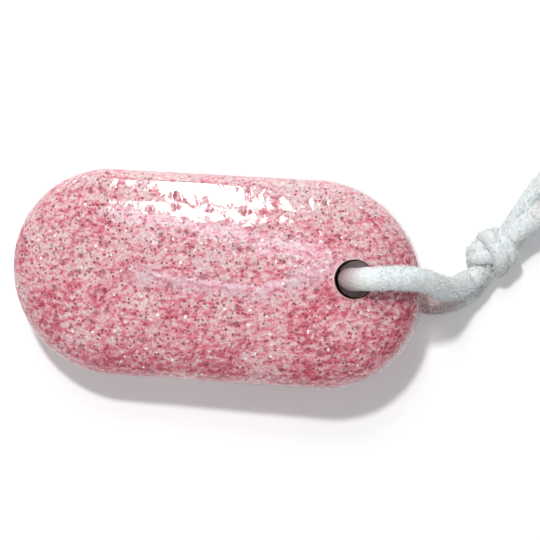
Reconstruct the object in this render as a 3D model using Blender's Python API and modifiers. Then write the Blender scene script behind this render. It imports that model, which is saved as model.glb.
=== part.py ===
"""Pumice foot stone in clear shrink film, with a cotton hanging cord.

An oblong block of pumice with round ends is drilled near its right end. Clear film is shrunk
round it and is open at both mouths of the hole. A soft cotton cord runs through the hole: one
strand lies over the end of the stone, the other comes back under it, so this end rests on the
cord and the stone lies a little tilted. Past the end the two strands share an overhand knot, and
the rest of the cord is a hanging loop that lies on the surface.

Metres, +Z up. X runs along the stone, with the drilled end at +X. The origin is on the surface
that the object lies on, under the middle of the stone.
"""

import math
import random

import bmesh
import bpy
from mathutils import Matrix, Vector, noise

MM = 0.001

# Outer size of the stone with its film.
LENGTH = 100.0 * MM
WIDTH = 50.6 * MM
THICKNESS = 22.6 * MM

# The film, and the clearance that it keeps from the stone.
FILM_THICKNESS = 0.25 * MM
FILM_CLEARANCE = 0.45 * MM
SEAM_HEIGHT = 0.5 * MM
SEAM_HALF_WIDTH = 0.9 * MM

# Form of the stone: a superellipse across, round ends that lean a little out of true.
PROFILE_POWER = 3.0
FACE_SHARE = 0.68
FLAT_SHARE = 0.985
END_SKEW = 0.6 * MM

# Hole through the stone, measured from its middle.
BORE_DIAMETER = 9.0 * MM
BORE_X = 33.7 * MM
BORE_Y = 1.6 * MM
FILM_HOLE_DIAMETER = BORE_DIAMETER + 0.4 * MM

# The drilled end is lifted by the strand of cord under it.
REST_TILT = math.radians(3.8)

# Surface of the stone: cells of the mesh, lumps and pores.
STONE_CELLS = (28, 14, 6)
FILM_CELLS = (16, 8, 8)
CELL_JITTER = 0.32
LUMP_DEPTH = 0.45 * MM
LUMP_SIZE = 9.0 * MM
PORE_COUNT = 290
PORE_WALL_SHARES = (0.18, 0.34)
PORE_DEPTHS = (0.5 * MM, 1.1 * MM)
PORE_CELL_LEAST = 1.5 * MM
PORE_FREE_RIM = 4.0 * MM
SEED = 11

# The cord, and the knot in its two strands.
CORD_DIAMETER = 5.8 * MM
CORD_SIDES_SETTING = 3
THROUGH_STEP = 2.7 * MM
LOOP_STEP = 5.0 * MM
KNOT_CENTRE = Vector((67.5, 9.9, 6.4)) * MM
KNOT_HEADING = math.radians(55.4)
KNOT_HALF_SIZES = Vector((6.3, 6.1, 6.1)) * MM
KNOT_POWER = 2.6
KNOT_CUTS = 5
KNOT_WRAPS = 2
KNOT_GROOVE = 0.09

# Middle line of the cord from the knot over the end of the stone, down the hole and back under
# the stone to the knot, in millimetres. Under the stone its middle is lower than half its
# diameter, because the stone's weight squashes it there.
ROUTE_THROUGH = (
    (63.6, 4.3, 9.6),
    (61.8, 3.0, 9.8),
    (59.9, 1.7, 10.9),
    (57.9, 0.7, 13.3),
    (55.9, 0.5, 16.8),
    (53.9, 0.9, 20.9),
    (51.4, 1.7, 24.9),
    (48.4, 2.4, 27.7),
    (45.0, 2.6, 29.2),
    (41.3, 2.4, 29.8),
    (37.8, 2.0, 29.9),
    (34.9, 1.8, 29.0),
    (32.75, 1.6, 26.9),
    (32.0, 1.6, 24.0),
    (32.1, 1.6, 19.5),
    (32.5, 1.6, 14.5),
    (33.0, 1.6, 9.5),
    (33.35, 1.6, 6.2),
    (34.5, 1.6, 3.9),
    (36.4, 1.5, 2.55),
    (38.8, 1.1, 2.2),
    (41.7, 0.3, 2.25),
    (44.6, -0.8, 2.5),
    (47.6, -2.0, 2.8),
    (50.8, -2.9, 2.95),
    (53.4, -3.2, 2.95),
    (56.1, -2.9, 2.95),
    (59.0, -2.0, 2.95),
    (61.9, -0.3, 2.95),
    (63.9, 1.8, 3.0),
    (65.1, 3.3, 3.1),
)

# Middle line of the hanging loop, from the knot round and back to it, in millimetres.
ROUTE_LOOP = (
    (71.8, 15.4, 3.1),
    (73.6, 17.9, 2.95),
    (75.4, 20.9, 2.95),
    (77.1, 23.7, 2.95),
    (78.9, 26.7, 2.95),
    (81.1, 29.4, 2.95),
    (84.0, 31.9, 2.95),
    (87.8, 34.3, 2.95),
    (92.6, 36.2, 2.95),
    (98.6, 37.0, 2.95),
    (105.2, 35.3, 2.95),
    (111.6, 30.2, 2.95),
    (116.8, 24.0, 2.95),
    (120.6, 16.4, 2.95),
    (122.9, 8.2, 2.95),
    (124.1, 0.7, 2.95),
    (124.4, -6.0, 2.95),
    (124.1, -12.4, 2.95),
    (122.0, -18.6, 2.95),
    (117.3, -23.2, 2.95),
    (110.9, -24.9, 2.95),
    (104.3, -23.0, 2.95),
    (99.6, -18.3, 2.95),
    (97.9, -12.5, 2.95),
    (98.3, -7.0, 2.95),
    (99.5, -2.0, 2.95),
    (101.4, 3.0, 2.95),
    (103.7, 8.1, 2.95),
    (105.1, 13.4, 2.95),
    (104.6, 18.5, 2.95),
    (102.2, 22.9, 2.95),
    (98.2, 25.9, 2.95),
    (93.4, 27.2, 3.1),
    (88.9, 26.8, 3.8),
    (85.3, 25.4, 4.9),
    (82.6, 23.6, 6.1),
    (80.1, 21.4, 7.4),
    (77.2, 19.0, 8.6),
    (74.7, 16.8, 9.2),
    (72.8, 14.9, 9.4),
)


def clear_scene():
    """Remove the objects of the scene that the file opens with."""
    for leftover in list(bpy.data.objects):
        bpy.data.objects.remove(leftover, do_unlink=True)


def make_collection(name):
    """Make a collection under the scene's own."""
    collection = bpy.data.collections.new(name)
    bpy.context.scene.collection.children.link(collection)
    return collection


def make_material(name, colour, roughness, alpha=1.0):
    """Make a plain material with a linear base colour."""
    material = bpy.data.materials.new(name)
    material.use_nodes = True
    shader = material.node_tree.nodes["Principled BSDF"]
    shader.inputs["Base Color"].default_value = (*colour, 1.0)
    shader.inputs["Roughness"].default_value = roughness
    shader.inputs["Metallic"].default_value = 0.0
    shader.inputs["Alpha"].default_value = alpha
    material.diffuse_color = (*colour, alpha)
    return material


def mesh_object(name, bm, collection, material=None):
    """Turn a bmesh into an object of a collection, and free the bmesh."""
    bmesh.ops.recalc_face_normals(bm, faces=bm.faces)
    mesh = bpy.data.meshes.new(name)
    bm.to_mesh(mesh)
    bm.free()
    if material is not None:
        mesh.materials.append(material)
    thing = bpy.data.objects.new(name, mesh)
    collection.objects.link(thing)
    return thing


def grid_box(cells, half_length_share):
    """Make a box whose edges are cut into even cells along X, Y and Z.

    It is 2 high and 2 wide, and its half-length is half_length_share.
    """
    bm = bmesh.new()
    bmesh.ops.create_cube(bm, size=2.0, matrix=Matrix.Diagonal((half_length_share, 1.0, 1.0, 1.0)))
    for axis, count in enumerate(cells):
        along = [
            edge
            for edge in bm.edges
            if abs(edge.verts[0].co[axis] - edge.verts[1].co[axis]) > 0.5
        ]
        bmesh.ops.subdivide_edges(bm, edges=along, cuts=count - 1, use_grid_fill=True)
    return bm


def plan_direction(beyond, y):
    """Direction on a round end for a place on the box's square end, beyond the straight sides."""
    if beyond == 0.0:
        return 0.0, math.copysign(1.0, y)
    across = abs(y)
    if across <= abs(beyond):
        angle = math.pi / 4 * across / abs(beyond)
    else:
        angle = math.pi / 2 - math.pi / 4 * abs(beyond) / across
    return math.copysign(math.cos(angle), beyond), math.copysign(math.sin(angle), y)


def pillow_point(box_point, shrink):
    """Carry a point of the box onto the pillow form, which is shrink smaller all round.

    The box's upper and lower faces become shallow domes, and its walls the round shoulders. The
    lower dome is cut off flat in its middle.
    """
    half_width = WIDTH / 2 - shrink
    half_height = THICKNESS / 2 - shrink
    straight = (LENGTH - WIDTH) / 2
    straight_share = LENGTH / WIDTH - 1.0
    x, y, z = box_point
    beyond = math.copysign(max(abs(x) - straight_share, 0.0), x)
    cos_plan, sin_plan = plan_direction(beyond, y)
    if abs(z) > 0.9999:
        reach = FACE_SHARE * max(abs(beyond), abs(y))
        height = (1.0 - reach**PROFILE_POWER) ** (1.0 / PROFILE_POWER)
    else:
        start = math.asin(FACE_SHARE ** (PROFILE_POWER / 2))
        turn = start + (math.pi / 2 - start) * (1.0 - abs(z))
        reach = math.sin(turn) ** (2.0 / PROFILE_POWER)
        height = max(math.cos(turn), 0.0) ** (2.0 / PROFILE_POWER)
    if z < 0.0:
        height = -min(height, FLAT_SHARE)
    radius = reach * (half_width - END_SKEW * 2.0 * cos_plan * sin_plan)
    along = max(-straight_share, min(straight_share, x)) / straight_share * straight
    return Vector((along + radius * cos_plan, radius * sin_plan, half_height * height))


def near_bore(point, margin):
    """Tell whether a point is within a margin of the hole's wall."""
    return math.hypot(point.x - BORE_X, point.y - BORE_Y) < BORE_DIAMETER / 2 + margin


def stone_mesh():
    """Model the block of pumice, with its lumps and its larger pores."""
    draw = random.Random(SEED)
    share = LENGTH / WIDTH
    bm = grid_box(STONE_CELLS, share)
    cell = 2.0 * share / STONE_CELLS[0]
    for vert in bm.verts:
        on_face = abs(vert.co.z) > 0.9999
        inside = abs(vert.co.x) < share - cell / 2 and abs(vert.co.y) < 1.0 - cell / 2
        if on_face and inside:
            vert.co.x += cell * CELL_JITTER * draw.uniform(-1.0, 1.0)
            vert.co.y += cell * CELL_JITTER * draw.uniform(-1.0, 1.0)
        vert.co = pillow_point(vert.co, FILM_THICKNESS + FILM_CLEARANCE)
    bm.normal_update()
    for vert in bm.verts:
        hollow = 0.5 - 0.5 * noise.noise(vert.co / LUMP_SIZE)
        vert.co -= vert.normal * LUMP_DEPTH * max(0.0, min(1.0, hollow))
    bm.normal_update()
    cells = [
        face
        for face in bm.faces
        if min(edge.calc_length() for edge in face.edges) > PORE_CELL_LEAST
        and not near_bore(face.calc_center_median(), PORE_FREE_RIM)
    ]
    for face in draw.sample(cells, PORE_COUNT):
        shortest = min(edge.calc_length() for edge in face.edges)
        bmesh.ops.inset_individual(
            bm,
            faces=[face],
            thickness=shortest * draw.uniform(*PORE_WALL_SHARES),
            depth=-draw.uniform(*PORE_DEPTHS),
            use_even_offset=True,
        )
    return bm


def film_mesh():
    """Model the outer face of the shrink film, with the welded seam round its edge."""
    bm = grid_box(FILM_CELLS, LENGTH / WIDTH)
    for vert in bm.verts:
        vert.co = pillow_point(vert.co, 0.0)
    tiny = 0.001 * MM
    equator = [edge for edge in bm.edges if all(abs(vert.co.z) < tiny for vert in edge.verts)]
    bmesh.ops.bevel(
        bm,
        geom=equator,
        offset=SEAM_HALF_WIDTH,
        segments=2,
        profile=0.5,
        affect="EDGES",
        material=-1,
    )
    bm.normal_update()
    for vert in bm.verts:
        if abs(vert.co.z) < tiny:
            vert.co += vert.normal * SEAM_HEIGHT
    return bm


def round_cutter(name, diameter, collection):
    """Make the round cutter for a hole through the whole thickness."""
    bm = bmesh.new()
    bmesh.ops.create_cone(
        bm,
        cap_ends=True,
        segments=24,
        radius1=diameter / 2,
        radius2=diameter / 2,
        depth=2.0 * THICKNESS,
        matrix=Matrix.Translation((BORE_X, BORE_Y, 0.0)),
    )
    cutter = mesh_object(name, bm, collection)
    cutter.hide_render = True
    cutter.display_type = "WIRE"
    return cutter


def cut_hole(thing, cutter):
    """Cut a hole in a piece."""
    hole = thing.modifiers.new("hole", "BOOLEAN")
    hole.operation = "DIFFERENCE"
    hole.solver = "EXACT"
    hole.object = cutter


def smooth_route(route, step):
    """Read points a step apart from the smooth curve through a route's own points."""
    points = [Vector(point) * MM for point in route]
    ends = [points[0] * 2 - points[1]] + points + [points[-1] * 2 - points[-2]]
    fine = []
    for before, start, end, after in zip(ends, ends[1:], ends[2:], ends[3:]):
        for part in range(16):
            t = part / 16
            fine.append(
                0.5
                * (
                    2 * start
                    + (end - before) * t
                    + (2 * before - 5 * start + 4 * end - after) * t**2
                    + (3 * start - before - 3 * end + after) * t**3
                )
            )
    fine.append(points[-1])
    length = sum((b - a).length for a, b in zip(fine, fine[1:]))
    count = max(2, round(length / step))
    even = [fine[0]]
    walked = 0.0
    for a, b in zip(fine, fine[1:]):
        reach = (b - a).length
        while len(even) < count and walked + reach >= length * len(even) / count:
            even.append(a.lerp(b, (length * len(even) / count - walked) / reach))
        walked += reach
    even.append(fine[-1])
    return even


def cord_object(name, route, step, collection, material):
    """Make a stretch of cord: a round tube, squashed where its middle line lies low."""
    curve = bpy.data.curves.new(name, "CURVE")
    curve.dimensions = "3D"
    curve.bevel_depth = CORD_DIAMETER / 2
    curve.bevel_resolution = CORD_SIDES_SETTING
    curve.use_fill_caps = True
    points = smooth_route(route, step)
    spline = curve.splines.new("POLY")
    spline.points.add(len(points) - 1)
    for knot_point, place in zip(spline.points, points):
        knot_point.co = (*place, 1.0)
        knot_point.radius = min(1.0, place.z / (CORD_DIAMETER / 2))
    curve.materials.append(material)
    thing = bpy.data.objects.new(name, curve)
    collection.objects.link(thing)
    return thing


def knot_mesh():
    """Model the outer form of the overhand knot: a rounded block with the grooves of its turns."""
    bm = bmesh.new()
    bmesh.ops.create_cube(bm, size=2.0)
    bmesh.ops.subdivide_edges(bm, edges=bm.edges, cuts=KNOT_CUTS, use_grid_fill=True)
    for vert in bm.verts:
        total = sum(abs(part) ** KNOT_POWER for part in vert.co)
        place = vert.co / total ** (1.0 / KNOT_POWER)
        around = math.atan2(place.z, place.y)
        groove = math.cos(KNOT_WRAPS * math.pi * place.x + around) ** 2
        middle = 1.0 - place.x**2
        place.yz = place.yz * (1.0 - KNOT_GROOVE * groove * middle)
        vert.co = Vector(a * b for a, b in zip(place, KNOT_HALF_SIZES))
    return bm


def build():
    """Build the whole object."""
    clear_scene()
    parts = make_collection("pumice_stone_on_cord")
    cutters = make_collection("cutters")

    pumice = make_material("pink_pumice", (0.66, 0.24, 0.27), 0.85)
    clear_film = make_material("clear_shrink_film", (0.9, 0.86, 0.9), 0.08, alpha=0.25)
    cotton = make_material("white_cotton_cord", (0.78, 0.79, 0.78), 0.95)

    rest_pose = bpy.data.objects.new("rest_pose", None)
    parts.objects.link(rest_pose)
    rest_pose.rotation_euler = (0.0, -REST_TILT, 0.0)

    stone = mesh_object("pumice_stone", stone_mesh(), parts, pumice)
    bore = round_cutter("bore_cutter", BORE_DIAMETER, cutters)
    cut_hole(stone, bore)

    film = mesh_object("shrink_film", film_mesh(), parts, clear_film)
    film.data.shade_smooth()
    wall = film.modifiers.new("wall", "SOLIDIFY")
    wall.thickness = FILM_THICKNESS
    wall.offset = -1.0
    film_hole = round_cutter("film_hole_cutter", FILM_HOLE_DIAMETER, cutters)
    cut_hole(film, film_hole)

    turned = rest_pose.rotation_euler.to_matrix()
    lowest = min((turned @ vert.co).z for vert in film.data.vertices)
    rest_pose.location = (0.0, 0.0, -lowest)
    for thing in (stone, film, bore, film_hole):
        thing.parent = rest_pose

    cord_object("cord_through_stone", ROUTE_THROUGH, THROUGH_STEP, parts, cotton)
    cord_object("cord_hanging_loop", ROUTE_LOOP, LOOP_STEP, parts, cotton)
    knot = mesh_object("cord_knot", knot_mesh(), parts, cotton)
    knot.data.shade_smooth()
    knot.location = KNOT_CENTRE
    knot.rotation_euler = (0.0, 0.0, KNOT_HEADING)


build()
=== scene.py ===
"""Looks of a pumice stone in clear shrink film, on a looped cotton cord.

The stone, the film and the cord stand for the plain solids of the frame, at the same places. All
lengths below are in millimetres unless a name says otherwise, and turn to metres when a mesh is
made. X runs along the stone with the drilled end at +X, and Z is up from the surface that it lies
on.
"""

import logging
import math
import random
from dataclasses import dataclass, field
from enum import Enum

import bmesh
import bpy
import numpy as np
from mathutils import Matrix, Vector, noise
from mathutils.kdtree import KDTree


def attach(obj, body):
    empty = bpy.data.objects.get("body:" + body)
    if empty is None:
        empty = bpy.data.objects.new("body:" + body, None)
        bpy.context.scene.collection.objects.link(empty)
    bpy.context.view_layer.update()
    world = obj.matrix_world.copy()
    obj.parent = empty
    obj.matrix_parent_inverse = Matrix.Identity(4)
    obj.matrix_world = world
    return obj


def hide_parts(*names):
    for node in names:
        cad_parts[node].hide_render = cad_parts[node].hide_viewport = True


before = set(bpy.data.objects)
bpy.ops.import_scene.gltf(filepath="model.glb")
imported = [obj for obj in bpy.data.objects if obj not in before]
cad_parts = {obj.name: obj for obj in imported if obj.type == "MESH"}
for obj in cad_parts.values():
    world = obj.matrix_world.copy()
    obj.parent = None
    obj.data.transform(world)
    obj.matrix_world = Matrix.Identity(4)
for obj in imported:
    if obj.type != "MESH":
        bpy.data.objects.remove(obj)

LOG = logging.getLogger("pumice_stone")
MM = 0.001
BODY = "root"

Route = tuple[tuple[float, float, float], ...]

# Middle line of the cord from the knot over the end of the stone, down the hole and back under
# the stone to the knot.
ROUTE_THROUGH: Route = (
    (63.6, 4.3, 9.6),
    (61.8, 3.0, 9.8),
    (59.9, 1.7, 10.9),
    (57.9, 0.7, 13.3),
    (55.9, 0.5, 16.8),
    (53.9, 0.9, 20.9),
    (51.4, 1.7, 24.9),
    (48.4, 2.4, 27.7),
    (45.0, 2.6, 29.2),
    (41.3, 2.4, 29.8),
    (37.8, 2.0, 29.9),
    (34.9, 1.8, 29.0),
    (32.75, 1.6, 26.9),
    (32.0, 1.6, 24.0),
    (32.1, 1.6, 19.5),
    (32.5, 1.6, 14.5),
    (33.0, 1.6, 9.5),
    (33.35, 1.6, 6.2),
    (34.5, 1.6, 3.9),
    (36.4, 1.5, 2.55),
    (38.8, 1.1, 2.2),
    (41.7, 0.3, 2.25),
    (44.6, -0.8, 2.5),
    (47.6, -2.0, 2.8),
    (50.8, -2.9, 2.95),
    (53.4, -3.2, 2.95),
    (56.1, -2.9, 2.95),
    (59.0, -2.0, 2.95),
    (61.9, -0.3, 2.95),
    (63.9, 1.8, 3.0),
    (65.1, 3.3, 3.1),
)

# Middle line of the hanging loop, from the knot's lower strand round to its upper one.
ROUTE_LOOP: Route = (
    (71.8, 15.4, 3.1),
    (73.6, 17.9, 2.95),
    (75.4, 20.9, 2.95),
    (77.1, 23.7, 2.95),
    (78.9, 26.7, 2.95),
    (81.1, 29.4, 2.95),
    (84.0, 31.9, 2.95),
    (87.8, 34.3, 2.95),
    (92.6, 36.2, 2.95),
    (98.6, 37.0, 2.95),
    (105.2, 35.3, 2.95),
    (111.6, 30.2, 2.95),
    (116.8, 24.0, 2.95),
    (120.6, 16.4, 2.95),
    (122.9, 8.2, 2.95),
    (124.1, 0.7, 2.95),
    (124.4, -6.0, 2.95),
    (124.1, -12.4, 2.95),
    (122.0, -18.6, 2.95),
    (117.3, -23.2, 2.95),
    (110.9, -24.9, 2.95),
    (104.3, -23.0, 2.95),
    (99.6, -18.3, 2.95),
    (97.9, -12.5, 2.95),
    (98.3, -7.0, 2.95),
    (99.5, -2.0, 2.95),
    (101.4, 3.0, 2.95),
    (103.7, 8.1, 2.95),
    (105.1, 13.4, 2.95),
    (104.6, 18.5, 2.95),
    (102.2, 22.9, 2.95),
    (98.2, 25.9, 2.95),
    (93.4, 27.2, 3.1),
    (88.9, 26.8, 3.8),
    (85.3, 25.4, 4.9),
    (82.6, 23.6, 6.1),
    (80.1, 21.4, 7.4),
    (77.2, 19.0, 8.6),
    (74.7, 16.8, 9.2),
    (72.8, 14.9, 9.4),
)

# How many points of the route above belong to the strand over the stone, and the two places in
# the hole where the cord's ends meet out of sight.
OVER_COUNT = 15
END_ABOVE = (32.25, 1.6, 17.4)
END_BELOW = (32.35, 1.6, 16.4)


def linear(hex_colour: str) -> tuple[float, float, float, float]:
    """Turn an sRGB hex colour into the linear colour that shaders take.

    Args:
        hex_colour: Six hex digits after a hash sign.

    Returns:
        Red, green, blue and an alpha of 1.
    """
    parts = [int(hex_colour[i : i + 2], 16) / 255 for i in (1, 3, 5)]
    red, green, blue = (p / 12.92 if p <= 0.04045 else ((p + 0.055) / 1.055) ** 2.4 for p in parts)
    return red, green, blue, 1.0


def per(size: float) -> float:
    """Scale of a texture in metres whose features are size millimetres across."""
    return 1.0 / (size * MM)


def add_node(tree: bpy.types.NodeTree, kind: str, settings: dict, **inputs: object) -> bpy.types.Node:
    """Add a node, with its settings, and set or link its inputs.

    Args:
        tree: The material's or the world's node tree.
        kind: The node's type name, after ShaderNode.
        settings: The node's own settings. Under the key stops, a colour ramp takes its places
            and colours.
        **inputs: Input names, with underscores for spaces, or i and an index. Each value is a
            socket to link from, or a plain value.

    Returns:
        The new node.
    """
    node = tree.nodes.new("ShaderNode" + kind)
    for name, value in settings.items():
        if name == "stops":
            elements = node.color_ramp.elements
            while len(elements) < len(value):
                elements.new(0.5)
            for element, (place, colour) in zip(elements, value):
                element.position = place
                element.color = colour
        else:
            setattr(node, name, value)
    for name, value in inputs.items():
        key = int(name[1:]) if name[0] == "i" and name[1:].isdigit() else name.replace("_", " ")
        if isinstance(value, bpy.types.NodeSocket):
            tree.links.new(value, node.inputs[key])
        else:
            node.inputs[key].default_value = value
    return node


def grey(level: float) -> tuple[float, float, float, float]:
    """Grey stop of a ramp that is used as a number."""
    return level, level, level, 1.0


def new_material(name: str) -> tuple[bpy.types.Material, bpy.types.NodeTree]:
    """Make an empty node material.

    Args:
        name: The finish's name.

    Returns:
        The material and its node tree.
    """
    material = bpy.data.materials.new(name)
    material.use_nodes = True
    material.node_tree.nodes.clear()
    return material, material.node_tree


def smooth_route(route: list[Vector], step: float) -> list[Vector]:
    """Read points a step apart from the smooth curve through a route's own points.

    Args:
        route: The route's points.
        step: The distance between the points to read.

    Returns:
        The points, first and last of the route included.
    """
    ends = [route[0] * 2 - route[1]] + route + [route[-1] * 2 - route[-2]]
    fine = []
    for before, start, end, after in zip(ends, ends[1:], ends[2:], ends[3:]):
        for part in range(16):
            t = part / 16
            fine.append(
                0.5
                * (
                    2 * start
                    + (end - before) * t
                    + (2 * before - 5 * start + 4 * end - after) * t**2
                    + (3 * start - before - 3 * end + after) * t**3
                )
            )
    fine.append(route[-1])
    table = np.array([tuple(point) for point in fine])
    walked = np.concatenate(([0.0], np.cumsum(np.linalg.norm(np.diff(table, axis=0), axis=1))))
    even = np.linspace(0.0, walked[-1], max(2, round(walked[-1] / step)) + 1)
    return [Vector(point) for point in np.stack([np.interp(even, walked, c) for c in table.T], axis=1)]


def finish_piece(name: str, bm: bmesh.types.BMesh, material: bpy.types.Material) -> bpy.types.Object:
    """Turn a bmesh in millimetres into a smooth object that rides on the body.

    Args:
        name: The object's name.
        bm: The finished bmesh, which is freed.
        material: The piece's only material.

    Returns:
        The object, at the origin.
    """
    bmesh.ops.scale(bm, vec=(MM, MM, MM), verts=bm.verts)
    mesh = bpy.data.meshes.new(name)
    bm.to_mesh(mesh)
    bm.free()
    mesh.materials.append(material)
    mesh.shade_smooth()
    piece = bpy.data.objects.new(name, mesh)
    bpy.context.scene.collection.objects.link(piece)
    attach(piece, BODY)
    return piece


@dataclass(frozen=True)
class Pillow:
    """Outer form of the wrapped stone, as in the solids: a superellipse across, round ends."""

    length: float = 100.0
    width: float = 50.6
    thickness: float = 22.6
    power: float = 3.0
    face_share: float = 0.68
    flat_share: float = 0.985
    end_skew: float = 0.6
    tilt: float = math.radians(3.8)
    lift: float = 13.32
    bore_x: float = 33.7
    bore_y: float = 1.6

    def shoulder(self, samples: int = 400) -> tuple[np.ndarray, np.ndarray, np.ndarray]:
        """Curve of the wall from the face's edge to the equator.

        Args:
            samples: How many places of the curve are worked out.

        Returns:
            The share of the curve's length walked, and the reach and the height there.
        """
        start = math.asin(self.face_share ** (self.power / 2))
        left = (1.0 - np.linspace(0.0, 1.0, samples)) ** 3
        turn = math.pi / 2 - (math.pi / 2 - start) * left
        reach = np.sin(turn) ** (2 / self.power)
        height = np.maximum(np.cos(turn), 0.0) ** (2 / self.power)
        steps = np.hypot(np.diff(reach) * self.width, np.diff(height) * self.thickness)
        walked = np.concatenate(([0.0], np.cumsum(steps)))
        return walked / walked[-1], reach, height

    def carry(self, box: np.ndarray, shrink: float) -> np.ndarray:
        """Carry points of a box onto the form.

        Args:
            box: Points of a box 2 wide and 2 high, whose half-length is length / width.
            shrink: How much smaller all round the form is made.

        Returns:
            The points in the stone's own frame, untilted.
        """
        straight_share = self.length / self.width - 1.0
        x, y, z = box.T
        beyond = np.sign(x) * np.maximum(np.abs(x) - straight_share, 0.0)
        out, across = np.abs(beyond), np.abs(y)
        along_end = math.pi / 4 * across / np.maximum(out, 1e-9)
        along_side = math.pi / 2 - math.pi / 4 * out / np.maximum(across, 1e-9)
        angle = np.where(across <= out, along_end, along_side)
        cos_plan, sin_plan = np.cos(angle) * np.sign(beyond), np.sin(angle) * np.sign(y)
        face_reach = self.face_share * np.maximum(out, across)
        face_height = (1.0 - face_reach**self.power) ** (1.0 / self.power)
        walked, wall_reach, wall_height = self.shoulder()
        on_face = np.abs(z) > 0.9999
        down = 1.0 - np.abs(z)
        reach = np.where(on_face, face_reach, np.interp(down, walked, wall_reach))
        height = np.where(on_face, face_height, np.interp(down, walked, wall_height))
        height = np.where(z < 0.0, -np.minimum(height, self.flat_share), height)
        radius = reach * (self.width / 2 - shrink - self.end_skew * 2.0 * cos_plan * sin_plan)
        along = np.clip(x / straight_share, -1.0, 1.0) * (self.length - self.width) / 2
        high = (self.thickness / 2 - shrink) * height
        return np.stack([along + radius * cos_plan, radius * sin_plan, high], axis=1)

    def grid(self, cells: tuple[int, int, int], shrink: float) -> bmesh.types.BMesh:
        """Make the form as a fine even grid.

        Args:
            cells: How many cells it has along X, Y and Z.
            shrink: How much smaller all round it is than the film's outside.

        Returns:
            The closed form in the stone's own frame.
        """
        bm = bmesh.new()
        size = Matrix.Diagonal((self.length / self.width, 1.0, 1.0, 1.0))
        bmesh.ops.create_cube(bm, size=2.0, matrix=size)
        for axis, count in enumerate(cells):
            along = [e for e in bm.edges if abs(e.verts[0].co[axis] - e.verts[1].co[axis]) > 0.5]
            bmesh.ops.subdivide_edges(bm, edges=along, cuts=count - 1, use_grid_fill=True)
        box = np.array([tuple(vert.co) for vert in bm.verts])
        for vert, place in zip(bm.verts, self.carry(box, shrink)):
            vert.co = place
        return bm

    def open_bore(self, bm: bmesh.types.BMesh, radius: float) -> list[bmesh.types.BMEdge]:
        """Open a round hole through both faces.

        Args:
            bm: The form as a grid.
            radius: The hole's radius.

        Returns:
            The edges round both mouths.
        """
        inside = [v for v in bm.verts if self.from_bore(v.co) < radius]
        bmesh.ops.delete(bm, geom=inside, context="VERTS")
        rim = [edge for edge in bm.edges if edge.is_boundary]
        for vert in {vert for edge in rim for vert in edge.verts}:
            out = Vector((vert.co.x - self.bore_x, vert.co.y - self.bore_y)).normalized() * radius
            vert.co.xy = self.bore_x + out.x, self.bore_y + out.y
        return rim

    def from_bore(self, place: Vector) -> float:
        """Distance of a place from the bore's axis."""
        return math.hypot(place.x - self.bore_x, place.y - self.bore_y)

    def rest(self, bm: bmesh.types.BMesh) -> None:
        """Tilt a form as it rests on the cord, and lift it onto the surface."""
        turned = Matrix.Translation((0.0, 0.0, self.lift)) @ Matrix.Rotation(-self.tilt, 4, "Y")
        bmesh.ops.transform(bm, matrix=turned, verts=bm.verts)


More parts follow.
